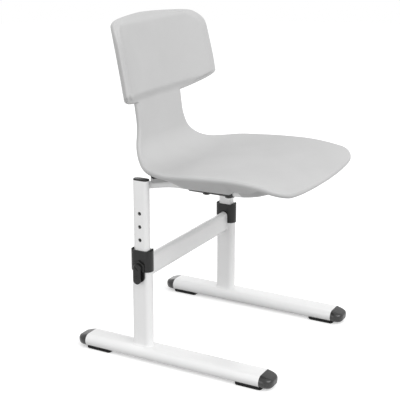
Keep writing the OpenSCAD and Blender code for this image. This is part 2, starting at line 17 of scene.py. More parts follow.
import bmesh
import bpy
import numpy as np
from mathutils import Euler, Matrix, Vector

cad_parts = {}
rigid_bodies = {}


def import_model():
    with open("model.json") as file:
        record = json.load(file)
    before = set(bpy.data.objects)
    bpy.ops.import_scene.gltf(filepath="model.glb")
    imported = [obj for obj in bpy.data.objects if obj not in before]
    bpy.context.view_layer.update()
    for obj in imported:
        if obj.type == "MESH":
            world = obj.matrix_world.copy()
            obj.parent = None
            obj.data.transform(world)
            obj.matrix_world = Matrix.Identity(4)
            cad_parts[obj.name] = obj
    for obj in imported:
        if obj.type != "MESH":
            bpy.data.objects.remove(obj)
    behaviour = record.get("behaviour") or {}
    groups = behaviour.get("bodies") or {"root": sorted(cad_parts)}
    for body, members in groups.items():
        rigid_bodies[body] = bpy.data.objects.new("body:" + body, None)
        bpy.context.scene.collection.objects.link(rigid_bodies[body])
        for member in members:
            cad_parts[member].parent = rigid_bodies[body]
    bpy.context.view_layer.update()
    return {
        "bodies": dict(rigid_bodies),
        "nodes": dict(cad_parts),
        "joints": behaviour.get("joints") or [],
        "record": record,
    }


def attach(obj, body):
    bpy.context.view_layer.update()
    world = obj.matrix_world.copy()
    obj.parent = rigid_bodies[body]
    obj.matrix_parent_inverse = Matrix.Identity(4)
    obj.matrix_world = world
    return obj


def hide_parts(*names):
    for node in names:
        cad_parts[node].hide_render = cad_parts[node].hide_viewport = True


LOG = logging.getLogger("school_chair")
MM = 0.001
# Sizes that several sub-assemblies share, in millimetres: the place of the uprights
# along Y, from which lengths are measured, and the distance between their middles.
UPRIGHT_Y = 88.0
TRACK = 396.0
SIDES = {"right": -1, "left": 1}
# Share of the patches' noise over which colour and roughness change.
PATCH_RANGE = (0.3, 0.7)

Array = np.ndarray
Piece = bpy.types.Object
Socket = bpy.types.NodeSocket
Node = bpy.types.Node
Tree = bpy.types.NodeTree
Source = Socket | Node


class Body(Enum):
    """The moving bodies of the chair that carry looks."""

    BASE = "base"
    SEAT = "seat"


class Slot(Enum):
    """The record's material slots."""

    STEEL_PAINT = "powder_coat_white"
    BLACK_PLASTIC = "plastic_black"
    RUBBER = "rubber_black"
    PLATED_STEEL = "steel_plated"
    BRASS = "brass_insert"
    SHELL_PLASTIC = "plastic_grey"


class End(Enum):
    """The two ends of a floor tube, by the direction in which the end points."""

    FRONT = -1
    REAR = 1


def hex_linear(code: str) -> tuple[float, float, float, float]:
    """Turns an sRGB hex colour to linear.

    Args:
        code: Six hex digits.

    Returns:
        The linear colour with full alpha.
    """
    parts = [int(code[i : i + 2], 16) / 255 for i in (0, 2, 4)]
    lin = [c / 12.92 if c <= 0.04045 else ((c + 0.055) / 1.055) ** 2.4 for c in parts]
    return (lin[0], lin[1], lin[2], 1.0)


def add_node(
    tree: Tree,
    kind: str,
    settings: dict[str, object] | None = None,
    links: dict[str | int, Source] | None = None,
    **values: object,
) -> Node:
    """Adds a node with its settings, its links and its unlinked values.

    Args:
        tree: The tree that gets the node.
        kind: The node's type name.
        settings: Properties of the node itself.
        links: Input name or number to the socket, or node by its first output, that
            feeds it.
        **values: Input name, with _ for a space, to its value.

    Returns:
        The new node.
    """
    node = tree.nodes.new(kind)
    for name, value in (settings or {}).items():
        setattr(node, name, value)
    for name, value in values.items():
        node.inputs[name.replace("_", " ")].default_value = value
    for key, source in (links or {}).items():
        socket = source.outputs[0] if isinstance(source, Node) else source
        tree.links.new(socket, node.inputs[key])
    return node


def reckon(tree: Tree, operation: str, *terms: Source | float) -> Node:
    """Adds a sum, product or other step between values.

    Args:
        tree: The tree that gets the node.
        operation: What is done with the values.
        *terms: The values: sockets, nodes or numbers.

    Returns:
        The node, whose output is the result.
    """
    links = {place: term for place, term in enumerate(terms) if not isinstance(term, float)}
    node = add_node(tree, "ShaderNodeMath", {"operation": operation}, links)
    for place, term in enumerate(terms):
        if place not in links:
            node.inputs[place].default_value = term
    return node


def noise(tree: Tree, place: Socket, size_mm: float, detail: float, roughness: float) -> Node:
    """Adds a noise.

    Args:
        tree: The tree that gets the node.
        place: The coordinates.
        size_mm: Size of its blotches.
        detail: Its detail.
        roughness: Its roughness.

    Returns:
        The node.
    """
    return add_node(
        tree, "ShaderNodeTexNoise", links={"Vector": place},
        Scale=1000 / size_mm, Detail=detail, Roughness=roughness,
    )


def clear_tree(owner: bpy.types.Material | bpy.types.World) -> Tree:
    """Switches the nodes of a material or world on, and empties its tree."""
    owner.use_nodes = True
    owner.node_tree.nodes.clear()
    return owner.node_tree


@dataclass(frozen=True)
class Finish:
    """A surface: its colour, its gloss and its grain.

    Attributes:
        name: What the material is and how it was made.
        slot: The record's slot that it dresses.
        colour: sRGB hex of the surface.
        shade: sRGB hex of its slightly different patches.
        roughness: Roughness of the surface.
        rough_spread: How far the roughness varies.
        grain_mm: Size of the relief's grain.
        relief_mm: Height of the relief.
        patch_mm: Size of the colour's patches.
        metallic: 1 for bare metal.
        specular: Specular level, 0.5 for a plain dielectric.
        ior: Index of refraction.
    """

    name: str
    slot: Slot
    colour: str
    shade: str
    roughness: float
    rough_spread: float = 0.04
    grain_mm: float = 1.0
    relief_mm: float = 0.02
    patch_mm: float = 60.0
    metallic: float = 0.0
    specular: float = 0.5
    ior: float = 1.5

    def material(self) -> bpy.types.Material:
        """Builds the procedural material, or returns it if it exists.

        Returns:
            The material.
        """
        known = bpy.data.materials.get(self.name)
        if known is not None:
            return known
        mat = bpy.data.materials.new(self.name)
        tree = clear_tree(mat)
        place = add_node(tree, "ShaderNodeTexCoord").outputs["Object"]
        patches = noise(tree, place, self.patch_mm, 3.0, 0.55)
        ramp = add_node(tree, "ShaderNodeValToRGB", links={"Fac": patches})
        stops = zip(ramp.color_ramp.elements, PATCH_RANGE, (self.shade, self.colour))
        for stop, position, code in stops:
            stop.position, stop.color = position, hex_linear(code)
        rough = add_node(
            tree, "ShaderNodeMapRange", links={"Value": patches},
            From_Min=PATCH_RANGE[0], From_Max=PATCH_RANGE[1],
            To_Min=self.roughness + self.rough_spread,
            To_Max=self.roughness - self.rough_spread,
        )
        bump = add_node(
            tree, "ShaderNodeBump", links={"Height": self._grain(tree, place)},
            Strength=1.0, Distance=self.relief_mm * MM,
        )
        surface = add_node(
            tree, "ShaderNodeBsdfPrincipled",
            links={"Base Color": ramp, "Roughness": rough, "Normal": bump},
            Metallic=self.metallic, IOR=self.ior, Specular_IOR_Level=self.specular,
        )
        add_node(tree, "ShaderNodeOutputMaterial", links={"Surface": surface})
        return mat

    def _grain(self, tree: Tree, place: Socket) -> Node:
        """Makes the relief's height: an even, fine noise."""
        return noise(tree, place, self.grain_mm, 2.0, 0.6)

    def dress(self, piece: Piece) -> None:
        """Gives a piece or a carried-over node this finish.

        Args:
            piece: The mesh object that gets the finish.
        """
        piece.data.materials.clear()
        piece.data.materials.append(self.material())


@dataclass(frozen=True)
class SparkErodedFinish(Finish):
    """A moulded plastic whose tool was spark-eroded: fine pits, as on chair shells."""

    def _grain(self, tree: Tree, place: Socket) -> Node:
        """Makes rounded pits out of a cell pattern, softened by a 2.4 times finer noise.

        Args:
            tree: The material's tree.
            place: The coordinates.

        Returns:
            The height's node.
        """
        cells = add_node(
            tree, "ShaderNodeTexVoronoi", settings={"feature": "SMOOTH_F1"},
            links={"Vector": place}, Scale=1000 / self.grain_mm, Smoothness=0.7,
        )
        fine = noise(tree, place, self.grain_mm / 2.4, 1.0, 0.5)
        return reckon(tree, "MULTIPLY", cells, fine)


# Polypropylene from a spark-eroded mould: an even, silky grey with pits about
# 0.4 mm across, drawn at 1.1 mm so that they show.
SHELL_PP = SparkErodedFinish(
    "polypropylene_spark_eroded_grey", Slot.SHELL_PLASTIC, "c4c4c4", "c1c1c1",
    0.52, 0.03, 1.1, 0.035, 90.0, specular=0.42, ior=1.49,
)
# Polyester powder coat, baked on: satin white with a faint orange peel 2 mm wide.
POWDER_COAT = Finish(
    "polyester_powder_coat_white", Slot.STEEL_PAINT, "f6f6f6", "f3f3f3",
    0.2, 0.03, 2.2, 0.02, 70.0, specular=0.55, ior=1.52,
)
# Glass-filled nylon mouldings: near black, with a low sheen and a 0.9 mm grain.
NYLON = SparkErodedFinish(
    "nylon_moulded_black", Slot.BLACK_PLASTIC, "1e1e1e", "1b1b1b",
    0.33, 0.05, 0.9, 0.025, 25.0, specular=0.3, ior=1.53,
)
# The same nylon in the shell's grey, for the blocks between shell and arms.
NYLON_GREY = SparkErodedFinish(
    "nylon_moulded_grey", Slot.BLACK_PLASTIC, "b6b6b6", "b2b2b2",
    0.42, 0.05, 0.9, 0.025, 25.0, specular=0.35, ior=1.53,
)
# Polyethylene foot caps: charcoal, with a soft sheen on a 1.2 mm satin grain.
CAP_PE = Finish(
    "polyethylene_moulded_charcoal", Slot.BLACK_PLASTIC, "282828", "252525",
    0.24, 0.05, 1.2, 0.02, 20.0, specular=0.55, ior=1.51,
)
# Glides of solid rubber: matt, with a 1.5 mm scuffed grain.
RUBBER = Finish(
    "rubber_moulded_black", Slot.RUBBER, "0e0e0e", "111111",
    0.72, 0.05, 1.5, 0.05, 18.0, specular=0.25,
)
# Zinc plate on turned steel: bright, with fine turning marks 0.6 mm apart.
ZINC = Finish(
    "steel_zinc_plated", Slot.PLATED_STEEL, "b9b9b6", "a9aaa8",
    0.3, 0.06, 0.6, 0.01, 9.0, metallic=1.0,
)
# Bare edge of a pierced hole, where the powder coat stops: dark, slightly scaled. The dark ring
# is also painted shade that widens the dark of the hole's shaded interior.
BARE_EDGE_AND_HOLE_SHADE = Finish(
    "steel_pierced_edge_bare", Slot.PLATED_STEEL, "3a3a39", "2c2b2a",
    0.5, 0.08, 0.8, 0.02, 4.0, metallic=1.0,
)
# Knurled brass inserts, seen only down the screw bores.
BRASS = Finish(
    "brass_knurled", Slot.BRASS, "b08d4a", "a27f3e",
    0.35, 0.06, 0.8, 0.03, 9.0, metallic=1.0,
)


def clamp01(t: Array) -> Array:
    """Limits values to 0 and 1."""
    return np.clip(t, 0.0, 1.0)


def ease(t: Array) -> Array:
    """Smooth step from 0 to 1."""
    c = clamp01(t)
    return c * c * (3 - 2 * c)


def ramp(t: Array, low: float, high: float) -> Array:
    """Smooth step from 0 at low to 1 at high."""
    return ease((t - low) / (high - low))


def mix(a: Array | float, b: Array | float, t: Array) -> Array:
    """Goes from a to b as t goes from 0 to 1."""
    return a + (b - a) * t


def round_share(d: Array, r: float) -> Array:
    """Height of a quarter circle of radius r, as a share, at a distance d."""
    t = clamp01(d / r)
    return np.sqrt(np.maximum(0, 1 - (1 - t) ** 2))


def end_share(d: Array, depth: float, power: float) -> Array:
    """Share of the full width at a distance d from a rounded end."""
    t = clamp01(d / depth)
    return np.maximum(0, 1 - (1 - t) ** 2) ** (1 / power)


def put(name: str, data: bpy.types.ID) -> Piece:
    """Makes an object out of its data, at the scene's origin."""
    piece = bpy.data.objects.new(name, data)
    bpy.context.scene.collection.objects.link(piece)
    return piece


def mesh_piece(
    name: str,
    verts: Iterable[Sequence[float]],
    faces: Iterable[Sequence[int]],
    edges: Iterable[Sequence[int]] = (),
    smooth: bool = True,
) -> Piece:
    """Makes a mesh object in the scene from points in metres.

    Args:
        name: The piece's name.
        verts: The points.
        faces: The faces, by point number.
        edges: Bare edges, by point number.
        smooth: Whether the faces are shaded smooth.

    Returns:
        The object, at the origin.
    """
    mesh = bpy.data.meshes.new(name)
    mesh.from_pydata([tuple(v) for v in verts], list(edges), [tuple(f) for f in faces])
    mesh.validate()
    mesh.polygons.foreach_set("use_smooth", [smooth] * len(mesh.polygons))
    mesh.update()
    return put(name, mesh)


def form_piece(name: str, form: bmesh.types.BMesh) -> Piece:
    """Makes an object out of a form, which is freed."""
    mesh = bpy.data.meshes.new("form")
    form.to_mesh(mesh)
    form.free()
    return put(name, mesh)


def settle(piece: Piece) -> None:
    """Turns a piece with modifiers into a plain mesh.

    Args:
        piece: The piece; its modifiers are gone afterwards.
    """
    graph = bpy.context.evaluated_depsgraph_get()
    mesh = bpy.data.meshes.new_from_object(piece.evaluated_get(graph))
    mesh.name = piece.name
    piece.modifiers.clear()
    piece.data = mesh


def drop_piece(piece: Piece) -> None:
    """Takes a helper object out of the file."""
    bpy.data.objects.remove(piece, do_unlink=True)


@dataclass
class SeatShell:
    """The moulded one-piece shell: seat, bend, neck and a padded-out backrest.

    Its middle surface follows a centre line of arcs from the front edge up to the
    top edge; the sides rise from it, and the edges are rolled.


    Attributes:
        run_lens: Lengths of the centre line's arcs.
        run_turns: Angles by which the arcs turn, in degrees.
        across: Number of steps across the shell.
        row_step: Distance of its rows along the centre line.
        end_rows: Number of rows in a rounded end.
        bend_rows: Number of the groove's sections in a front corner.
        bend_lead: Turn of the first of them, in radians.
        tip: Distance of the first row from an end.
        seam: Gap between two widths of the groove.
        sharp: Angle from which an edge is drawn sharp, in degrees.
    """

    shell_reach: float = 338.0
    start_z: float = 405.3
    lip_rise: float = 14.7
    run_lens: tuple[float, ...] = (148.5, 168, 39.5, 88, 67, 80.5, 126)
    run_turns: tuple[float, ...] = (-17.8, -2.2, 17.8, 72, -3, -3.5, -1)
    seat_w: float = 438.0
    seat_front_w: float = 414.0
    neck_w: float = 193.0
    back_w: float = 394.0
    back_top_w: float = 384.0
    shell_t: float = 12.0
    pad_swell: float = 9.0
    seat_dish: float = 13.0
    back_wrap: float = 46.0
    top_wrap: float = 7.0
    narrow_lead: float = 54.0
    narrow_tail: float = 169.0
    wide_lead: float = 20.0
    pad_rise: float = 13.0
    wing_h: float = 28.0
    wing_power: float = 1.4
    front_corner: float = 47.0
    top_corner: float = 60.0
    front_crown: float = 8.0
    top_crown: float = 18.0
    front_power: float = 6.0
    top_power: float = 5.0
    dish_power: float = 3.3
    dish_ref: float = 193.0
    wrap_lead: float = 56.0
    wrap_tail: float = 130.0
    pad_roll: float = 24.0
    belly_low: float = 402.0
    belly_run: float = 38.0
    belly_from: float = 114.0
    belly_full: float = 140.0
    apron_from: float = 62.0
    apron_full: float = 100.0
    apron_run: float = 46.0
    belly_rear_lead: float = 80.0
    belly_end_lead: float = 25.0
    rail_x: float = 150.0
    rail_top: float = 407.0
    rail_front: float = 252.0
    rail_corner_r: float = 54.0
    arm_bend_y: float = 69.0
    channel_w: float = 20.6
    groove_w: float = 16.6
    groove_low: float = 380.0
    pocket_low: float = 394.6
    pocket_flat: float = 12.0
    pocket_fall: float = 22.0
    pocket_run: float = 26.0
    block_at: tuple[float, float] = (167.58, -26.57)
    block_half: tuple[float, float] = (17.3, 8.8)
    block_top: float = 417.8
    across: int = 144
    row_step: float = 3.0
    end_rows: int = 30
    bend_rows: int = 24
    bend_lead: float = 0.03
    tip: float = 0.02
    seam: float = 0.01
    sharp: float = 50.0
    starts: Array = field(init=False)
    heads: Array = field(init=False)
    origins: Array = field(init=False)

    def __post_init__(self) -> None:
        """Works out where each arc of the centre line starts."""
        lens, turns = np.array(self.run_lens), np.array(self.run_turns)
        self.starts = np.concatenate([[0], np.cumsum(lens)])
        self.heads = self.lip_rise + np.concatenate([[0], np.cumsum(turns)])
        self.origins = np.zeros((len(lens) + 1, 2))
        edge_r = self.shell_t / 2
        bow = 1 - math.cos(math.radians(self.lip_rise))
        self.origins[0] = (edge_r * bow - self.shell_reach, self.start_z)
        for i in range(len(lens)):
            step = self._run_step(np.array([i]), np.array([1.0]))[0]
            self.origins[i + 1] = self.origins[i] + step

    @property
    def length(self) -> float:
        """Length of the centre line."""
        return float(self.starts[-1])

    def _run_of(self, s: Array) -> tuple[Array, Array]:
        """Number of the arc that holds each place s, and the share of it before s."""
        i = np.searchsorted(self.starts, s, side="right") - 1
        i = np.clip(i, 0, len(self.run_lens) - 1)
        return i, (s - self.starts[i]) / np.array(self.run_lens)[i]

    def _run_step(self, i: Array, part: Array) -> Array:
        """Step from the start of arc i over a share of it.

        Args:
            i: Numbers of the arcs.
            part: The share of each.

        Returns:
            The steps, as Y and Z.
        """
        turn = np.array(self.run_turns)[i] * part
        chord = np.array(self.run_lens)[i] * part
        mid = np.radians(self.heads[i] + turn / 2)
        half = np.sinc(np.radians(turn / 2) / np.pi)
        return np.stack([np.cos(mid), np.sin(mid)], axis=-1) * (chord * half)[..., None]

    def heading(self, s: Array) -> Array:
        """Heading of the centre line at s, in radians."""
        i, share = self._run_of(s)
        return np.radians(self.heads[i] + np.array(self.run_turns)[i] * share)

    def centre(self, s: Array) -> Array:
        """Place of the centre line at s, as Y and Z."""
        i, share = self._run_of(s)
        return self.origins[i] + self._run_step(i, share)

    @property
    def bend_from(self) -> float:
        """Where the seat starts to bend up."""
        return float(self.starts[2])

    @property
    def pad_from(self) -> float:
        """Where the back pad starts."""
        return float(self.starts[5]) + self.pad_rise

    def half_width(self, s: Array) -> Array:
        """Half width of the outline at s.

        Args:
            s: Places along the centre line.

        Returns:
            The half width at each place.
        """
        left = self.length - s
        narrow_from = self.bend_from - self.narrow_lead
        narrow_to = self.bend_from + self.narrow_tail
        wide = mix(self.seat_front_w, self.seat_w, ramp(s, 0, narrow_from - self.wide_lead))
        seat = mix(wide, self.neck_w, ramp(s, narrow_from, narrow_to)) / 2
        wing_end = self.pad_from + self.wing_h
        back = mix(self.back_w, self.back_top_w, ramp(s, wing_end, self.length)) / 2
        wing = self.neck_w / 2 + (back - self.neck_w / 2) * end_share(
            s - self.pad_from, self.wing_h, self.wing_power
        )
        wing = np.where(s <= self.pad_from, 0, wing)
        return (
            np.maximum(seat, wing)
            * end_share(s, self.front_corner, self.front_power)
            * round_share(s, self.front_crown)
            * end_share(left, self.top_corner, self.top_power)
            * round_share(left, self.top_crown)
        )

    def edge_gap(self, s: Array, x: Array) -> Array:
        """Distance from the point (s, x) of the flat shell to its outline.

        Args:
            s: Places along the centre line.
            x: Distances from the chair's middle.

        Returns:
            The distances, 0 outside.
        """
        step = 0.1
        lo, hi = np.maximum(0, s - step), np.minimum(self.length, s + step)
        slope = (self.half_width(hi) - self.half_width(lo)) / (2 * step)
        w = self.half_width(s)
        side = (w - np.abs(x)) / np.sqrt(1 + slope**2)
        in_wing = (s > self.pad_from) & (s < self.pad_from + self.wing_h)
        wing = np.maximum(np.minimum(side, s - self.pad_from), self.neck_w / 2 - np.abs(x))
        gap = np.where(in_wing & (np.abs(x) < w), wing, side)
        return np.maximum(0, np.minimum(np.minimum(s, self.length - s), gap))

    def rise(self, s: Array, x: Array) -> Array:
        """Height of the middle surface above the centre line's normal plane.

        Args:
            s: Places along the centre line.
            x: Distances from the chair's middle.

        Returns:
            The heights.
        """
        wrap_from, wrap_to = self.bend_from - self.wrap_lead, self.bend_from + self.wrap_tail
        depth = mix(self.seat_dish, self.back_wrap, ramp(s, wrap_from, wrap_to))
        depth += self.top_wrap * clamp01((s - wrap_to) / (self.length - wrap_to))
        return depth * (np.abs(x) / self.dish_ref) ** self.dish_power

    def belly(self, s: Array, x: Array) -> Array:
        """Extra depth under the seat, down to the plane of the seat tube.

        Args:
            s: Places along the centre line.
            x: Distances from the chair's middle.

        Returns:
            The depths.
        """
        cos_h = np.cos(self.heading(s))
        under = self.centre(s)[..., 1] + self.rise(s, x) * cos_h - self.shell_t / 2
        gap, bend = self.edge_gap(s, x), self.bend_from
        belly = ramp(s, self.belly_from, self.belly_full) * ease(gap / self.belly_run)
        apron = ramp(s, self.apron_from, self.apron_full) * ease(gap / self.apron_run)
        pocket = self._pocket_share(s, x)
        lows = (self.belly_low, self.rail_top, self.pocket_low)
        deep = [np.maximum(0, under - z) * w for z, w in zip(lows, (belly, apron, pocket))]
        rear = 1 - ramp(s, bend - self.belly_rear_lead, bend - self.belly_end_lead)
        return np.maximum.reduce(deep) * rear / np.maximum(0.5, cos_h)

    def _pocket_share(self, s: Array, x: Array) -> Array:
        """Share of the pocket's depth: full beside the seat tube's front bend.

        Args:
            s: Places along the centre line.
            x: Distances from the chair's middle.

        Returns:
            The shares.
        """
        y = self.centre(s)[..., 0]
        corner_y = self.rail_corner_r - self.rail_front
        across = np.maximum(0, np.abs(x) - (self.rail_x - self.rail_corner_r))
        ahead = np.maximum(0, corner_y - y)
        gap = np.abs(np.hypot(across, ahead) - self.rail_corner_r)
        side = 1 - ease((gap - self.pocket_flat) / self.pocket_fall)
        return side * ease(ahead / self.pocket_run)

    def offset(self, s: Array, x: Array, face: bool) -> Array:
        """Distance of the sitter's face, or of the back, from the centre line.

        Args:
            s: Places along the centre line.
            x: Distances from the chair's middle.
            face: Whether the sitter's face is meant.

        Returns:
            The distances, upwards or forwards.
        """
        gap = self.edge_gap(s, x)
        roll = self.shell_t / 2 * round_share(gap, self.shell_t / 2)
        if not face:
            return self.rise(s, x) - roll - self.belly(s, x)
        pad = np.maximum(0, np.minimum(s - self.pad_from, gap))
        swell = self.pad_swell * round_share(pad, self.pad_roll) * ease(pad / self.pad_roll)
        return self.rise(s, x) + roll + swell

    def stations(self) -> Array:
        """Places along the centre line where the mesh has a row of points.

        Returns:
            The places, in order.
        """
        end, wing = self.length, self.pad_from
        bow = 1 - np.cos(np.linspace(0, math.pi / 2, self.end_rows))
        flat = np.concatenate([
            np.maximum(self.tip, self.front_corner * bow),
            np.arange(self.front_corner, wing, self.row_step),
            wing + np.maximum(self.tip, self.wing_h * bow),
            np.arange(wing + self.wing_h, end - self.top_corner, self.row_step),
            end - np.maximum(self.tip, self.top_corner * bow),
        ])
        return np.unique(flat.round(4))

    def build(self) -> Piece:
        """Builds the shell: two surfaces on one grid, joined along the outline.

        Returns:
            The shell's object.
        """
        s = self.stations()
        n = self.across
        share = np.sin(np.linspace(-math.pi / 2, math.pi / 2, n + 1))
        grid_s = np.repeat(s[:, None], n + 1, axis=1)
        x = self.half_width(s)[:, None] * share[None, :]
        rows = []
        for face in (True, False):
            off = self.offset(grid_s, x, face)
            c, h = self.centre(grid_s), self.heading(grid_s)
            y = c[..., 0] - off * np.sin(h) + UPRIGHT_Y
            z = c[..., 1] + off * np.cos(h)
            rows.append(np.stack([x, y, z], axis=-1) * MM)
        ring = np.concatenate([rows[0], rows[1][:, n - 1 : 0 : -1]], axis=1)
        size = ring.shape[1]
        faces = skin_faces(len(s), size)
        for base, way in ((0, 1), ((len(s) - 1) * size, -1)):
            for j in range(1, n):
                k = (size - j) % size
                quad = (base + j, base + j - 1, base + (size - j + 1) % size, base + k)
                if j == n - 1:
                    faces.append((base + n, base + j, base + k)[::way])
                faces.append(tuple(dict.fromkeys(quad))[::way])
        shell = mesh_piece("moulded_shell", ring.reshape(-1, 3), faces)
        self._cut_channels(shell)
        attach(shell, Body.SEAT.value)
        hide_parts("seat_shell")
        SHELL_PP.dress(shell)
        return shell

    def _cut_channels(self, shell: Piece) -> None:
        """Cuts the groove for the seat tube, wider where its clamps sit.

        Args:
            shell: The shell's object.
        """
        corner_y = self.rail_corner_r - self.rail_front
        ledge_y = corner_y - (self.channel_w - self.groove_w) / 4
        stations = [
            ((self.rail_x, -self.arm_bend_y), (1.0, 0.0), self.channel_w),
            ((self.rail_x, ledge_y), (1.0, 0.0), self.channel_w),
            ((self.rail_x, ledge_y - self.seam), (1.0, 0.0), self.groove_w),
        ]
        for turn in np.linspace(self.bend_lead, math.pi / 2, self.bend_rows):
            out = (math.cos(turn), -math.sin(turn))
            x = self.rail_x + self.rail_corner_r * (out[0] - 1)
            stations.append(((x, corner_y + self.rail_corner_r * out[1]), out, self.groove_w))
        stations += [((-p[0], p[1]), (-n[0], n[1]), w) for p, n, w in reversed(stations)]
        low, top = self.groove_low, self.rail_top
        section = ((1, low), (1, top), (-1, top), (-1, low))
        self._cut(shell, [
            [(x + way * nx * w / 2, UPRIGHT_Y + y + way * ny * w / 2, z) for way, z in section]
            for (x, y), (nx, ny), w in stations
        ])
        long, short = self.block_half
        for side in SIDES.values():
            corners = np.array([
                (along * long - across * short, along * long + across * short)
                for along, across in ((1, 1), (-1, 1), (-1, -1), (1, -1))
            ]) * math.sqrt(0.5)
            corners = (corners + self.block_at) * (side, 1) + (0, UPRIGHT_Y)
            heights = (self.groove_low, self.block_top)
            self._cut(shell, [[(*corner, z) for corner in corners] for z in heights])
        shell.data.set_sharp_from_angle(angle=math.radians(self.sharp))

    @staticmethod
    def _cut(shell: Piece, rows: list) -> None:
        """Takes a closed form, given by its rows of points, out of the shell.

        Args:
            shell: The shell's object.
            rows: The form's sections, in millimetres.
        """
        cutter = rows_piece("cutter", np.array(rows))
        cut = shell.modifiers.new("cut", "BOOLEAN")
        cut.operation, cut.solver, cut.object = "DIFFERENCE", "EXACT", cutter
        settle(shell)
        drop_piece(cutter)


@dataclass
class CarriedNodes:
    """The solids whose shape is right as it is, and which only get a finish."""

    finishes: tuple[Finish, ...] = (POWDER_COAT, NYLON, RUBBER, ZINC, BRASS, SHELL_PP)

    def dress(self, frame: dict) -> int:
        """Gives every solid its finish.

        Args:
            frame: The loaded frame.

        Returns:
            The number of solids dressed.
        """
        by_slot = {finish.slot.value: finish for finish in self.finishes}
        slots = {p["node"]: p["material_slot"] for p in frame["record"]["subparts"]}
        for name, node in frame["nodes"].items():
            by_slot[slots[name]].dress(node)
        return len(slots)


@dataclass(frozen=True)
class SoftKind:
    """A kind of solid with rounded edges, one on each side of the chair.

    Attributes:
        kind: Its node's name without the side.
        radius: Radius of its edges in millimetres.
        finish: Its finish.
        body: The body that it rides on, or None for the lever of its own side.
        span: Heights between which it is kept, or None for all of it.
        suffix: What its piece's name ends in.
    """

    kind: str
    radius: float
    finish: Finish
    body: Body | None = Body.SEAT
    span: tuple[float, float] | None = None
    suffix: str = "moulded"


@dataclass
class SoftenedSolids:
    """Solids whose edges get the small radius that a mould or a brake gives them.

    Attributes:
        segments: Facets of a rounded edge.
        flat_angle: Angle up to which facets are merged, in degrees.
        edge_angle: Angle from which an edge is rounded.
        smooth_angle: Angle up to which shading is smooth.
    """

    kinds: tuple[SoftKind, ...] = (
        SoftKind("collar", 0.7, NYLON, Body.BASE),
        SoftKind("lock_plate", 0.5, NYLON, Body.BASE),
        SoftKind("top_plug", 0.9, NYLON),
        SoftKind("rail_clamp", 0.9, NYLON),
        SoftKind("rear_block", 0.8, NYLON_GREY, span=(400.0, 414.0)),
        # Thin black strip on the block's top, named pad: painted shade standing in for the dark
        # crevice between block and shell.
        SoftKind("rear_block", 0.6, RUBBER, span=(414.0, 417.5), suffix="pad"),
        SoftKind("lock_lever", 0.6, NYLON, None),
    )
    segments: int = 3
    flat_angle: float = 1.0
    edge_angle: float = 32.0
    smooth_angle: float = 38.0

    def build(self, frame: dict) -> list[Piece]:
        """Builds every softened solid, on both sides.

        Args:
            frame: The loaded frame.

        Returns:
            The pieces.
        """
        return [
            self._soften(frame["nodes"][f"{side}_{kind.kind}"], side, kind)
            for side in SIDES
            for kind in self.kinds
        ]

    def _soften(self, solid: Piece, side: str, kind: SoftKind) -> Piece:
        """Copies a solid, merges its facets and rounds its edges.

        Args:
            solid: The solid.
            side: The side that it is on.
            kind: Its kind.

        Returns:
            The piece that stands for the solid.
        """
        node = f"{side}_{kind.kind}"
        form = bmesh.new()
        form.from_mesh(solid.data)
        bmesh.ops.remove_doubles(form, verts=form.verts, dist=0.002 * MM)
        flat = math.radians(self.flat_angle)
        bmesh.ops.dissolve_limit(form, angle_limit=flat, verts=form.verts, edges=form.edges)
        if kind.span is not None:
            self._keep_between(form, *kind.span)
        piece = form_piece(f"{node}_{kind.suffix}", form)
        bevel = piece.modifiers.new("edges", "BEVEL")
        bevel.width = kind.radius * MM
        bevel.segments = self.segments
        bevel.limit_method = "ANGLE"
        bevel.angle_limit = math.radians(self.edge_angle)
        bevel.use_clamp_overlap = True
        settle(piece)
        mesh = piece.data
        mesh.polygons.foreach_set("use_smooth", [True] * len(mesh.polygons))
        mesh.set_sharp_from_angle(angle=math.radians(self.smooth_angle))
        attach(piece, kind.body.value if kind.body else f"{side}_lever")
        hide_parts(node)
        kind.finish.dress(piece)
        return piece

    @staticmethod
    def _keep_between(form: bmesh.types.BMesh, low: float, high: float) -> None:
        """Cuts a solid off above and below, and closes the cuts.

        Args:
            form: The solid.
            low: Height of the lower cut in millimetres.
            high: Height of the upper cut in millimetres.
        """
        for height, way in ((low, -1), (high, 1)):
            cut = bmesh.ops.bisect_plane(
                form,
                geom=[*form.verts, *form.edges, *form.faces],
                plane_co=(0, 0, height * MM),
                plane_no=(0, 0, way),
                clear_outer=True,
            )
            rim = [g for g in cut["geom_cut"] if isinstance(g, bmesh.types.BMEdge)]
            if rim:
                bmesh.ops.triangle_fill(
                    form, edges=rim, use_beauty=True, use_dissolve=True, normal=(0, 0, way)
                )
        bmesh.ops.recalc_face_normals(form, faces=form.faces)


